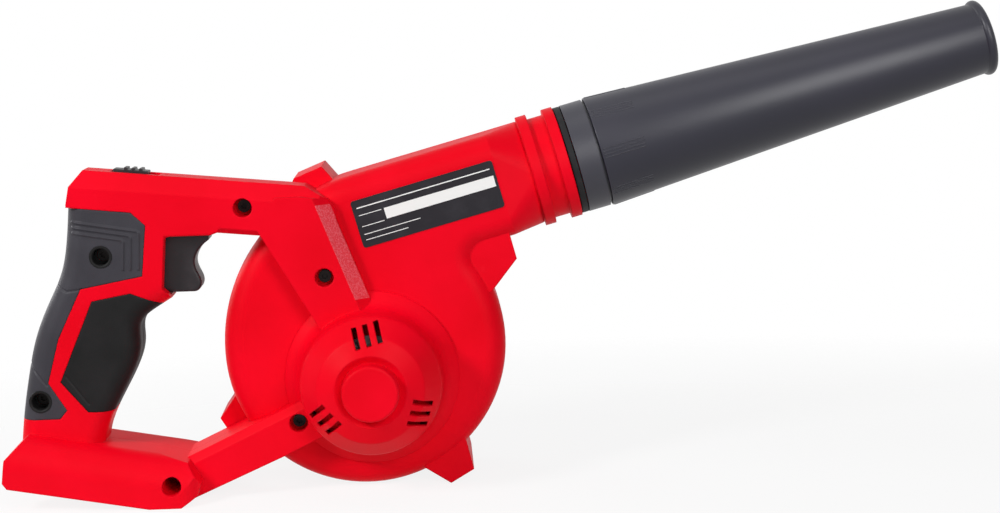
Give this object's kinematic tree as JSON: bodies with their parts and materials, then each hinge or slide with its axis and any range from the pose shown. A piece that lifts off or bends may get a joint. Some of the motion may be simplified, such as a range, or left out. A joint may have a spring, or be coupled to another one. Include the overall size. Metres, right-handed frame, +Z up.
{
  "type": "leaf blower",
  "caption": "Hand-held battery leaf blower: round fan housing with a long tapered nozzle, rear grip with trigger and speed slider, battery foot, motor dome with vents.",
  "frame": {"origin": "middle of the bounding box in X and Y, on the floor the blower rests on", "axes": "+X towards the nozzle, +Z up, +Y to the left side with the air intake; the motor dome is on -Y"},
  "size_m": [0.565, 0.1194, 0.2648],
  "materials": {
    "red_plastic": "satin moulded, fine texture",
    "dark_plastic": "satin moulded",
    "black_plastic": "fine matt",
    "soft_grip": "matt, finely grained",
    "seal_rubber": "matt",
    "label_film": "printed film, bare",
    "screw_steel": "zinc plated",
    "motor_steel": "plated can",
    "shaft_steel": "ground",
    "magnet": "sintered",
    "copper": "bare",
    "carbon": "matt",
    "board_green": "lacquered",
    "wire_red": "satin",
    "wire_black": "satin",
    "spring_steel": "drawn wire"
  },
  "bodies": {
    "housing": {"handle_shell_right": "red_plastic", "handle_shell_left": "red_plastic", "fan_housing_right": "red_plastic", "fan_housing_left": "red_plastic", "intake_grille": "black_plastic", "grille_screws": "screw_steel", "fan_housing_screws": "screw_steel", "handle_screws": "screw_steel", "strut_screws": "screw_steel", "grip_rear_right": "soft_grip", "grip_rear_left": "soft_grip", "grip_front_right": "soft_grip", "grip_front_left": "soft_grip", "rating_label": "label_film", "motor_can": "motor_steel", "motor_endbell": "black_plastic", "motor_magnets": "magnet", "motor_mount": "motor_steel", "motor_screws": "screw_steel", "bearing_front": "shaft_steel", "bearing_rear": "shaft_steel", "carbon_brushes": "carbon", "trigger_spring": "spring_steel", "trigger_switch": "black_plastic", "speed_switch": "dark_plastic", "speed_board": "board_green", "terminal_block": "black_plastic", "terminal_blades": "copper", "battery_lead_positive": "wire_red", "battery_lead_negative": "wire_black", "motor_lead_positive": "wire_red", "motor_lead_negative": "wire_black"},
    "rotor": {"motor_shaft": "shaft_steel", "armature": "motor_steel", "commutator": "copper", "impeller": "black_plastic", "fan_nut": "screw_steel"},
    "trigger_body": {"trigger": "black_plastic", "trigger_plunger": "black_plastic"},
    "slider_body": {"speed_slider": "black_plastic"},
    "seal_body": {"nozzle_seal": "seal_rubber"},
    "nozzle_body": {"nozzle_collar": "dark_plastic", "nozzle": "dark_plastic"}
  },
  "joints": [
    {"name": "rotor_spin", "type": "hinge", "parent": "housing", "child": "rotor", "pos_m": [-0.0793, -0.0047, 0.0641], "axis": [0, 1, 0], "continuous": true},
    {"name": "trigger_pull", "type": "slide", "parent": "housing", "child": "trigger_body", "axis": [-1, 0, 0], "range_m": [0, 0.007], "stiffness_N_per_m": 300, "springref_m": -0.004, "deforming": ["trigger_spring"]},
    {"name": "speed_slide", "type": "slide", "parent": "housing", "child": "slider_body", "axis": [0.9948, 0, -0.1016], "range_m": [0, 0.0055]},
    {"name": "nozzle_pull", "type": "slide", "parent": "housing", "child": "seal_body", "axis": [0.9664, 0, 0.2571], "range_m": [0, 0.045]},
    {"name": "nozzle_twist", "type": "hinge", "parent": "seal_body", "child": "nozzle_body", "pos_m": [0.03511, 0.0223, 0.17966], "axis": [0.9664, 0, 0.2571], "range_deg": [0, 30]}
  ]
}
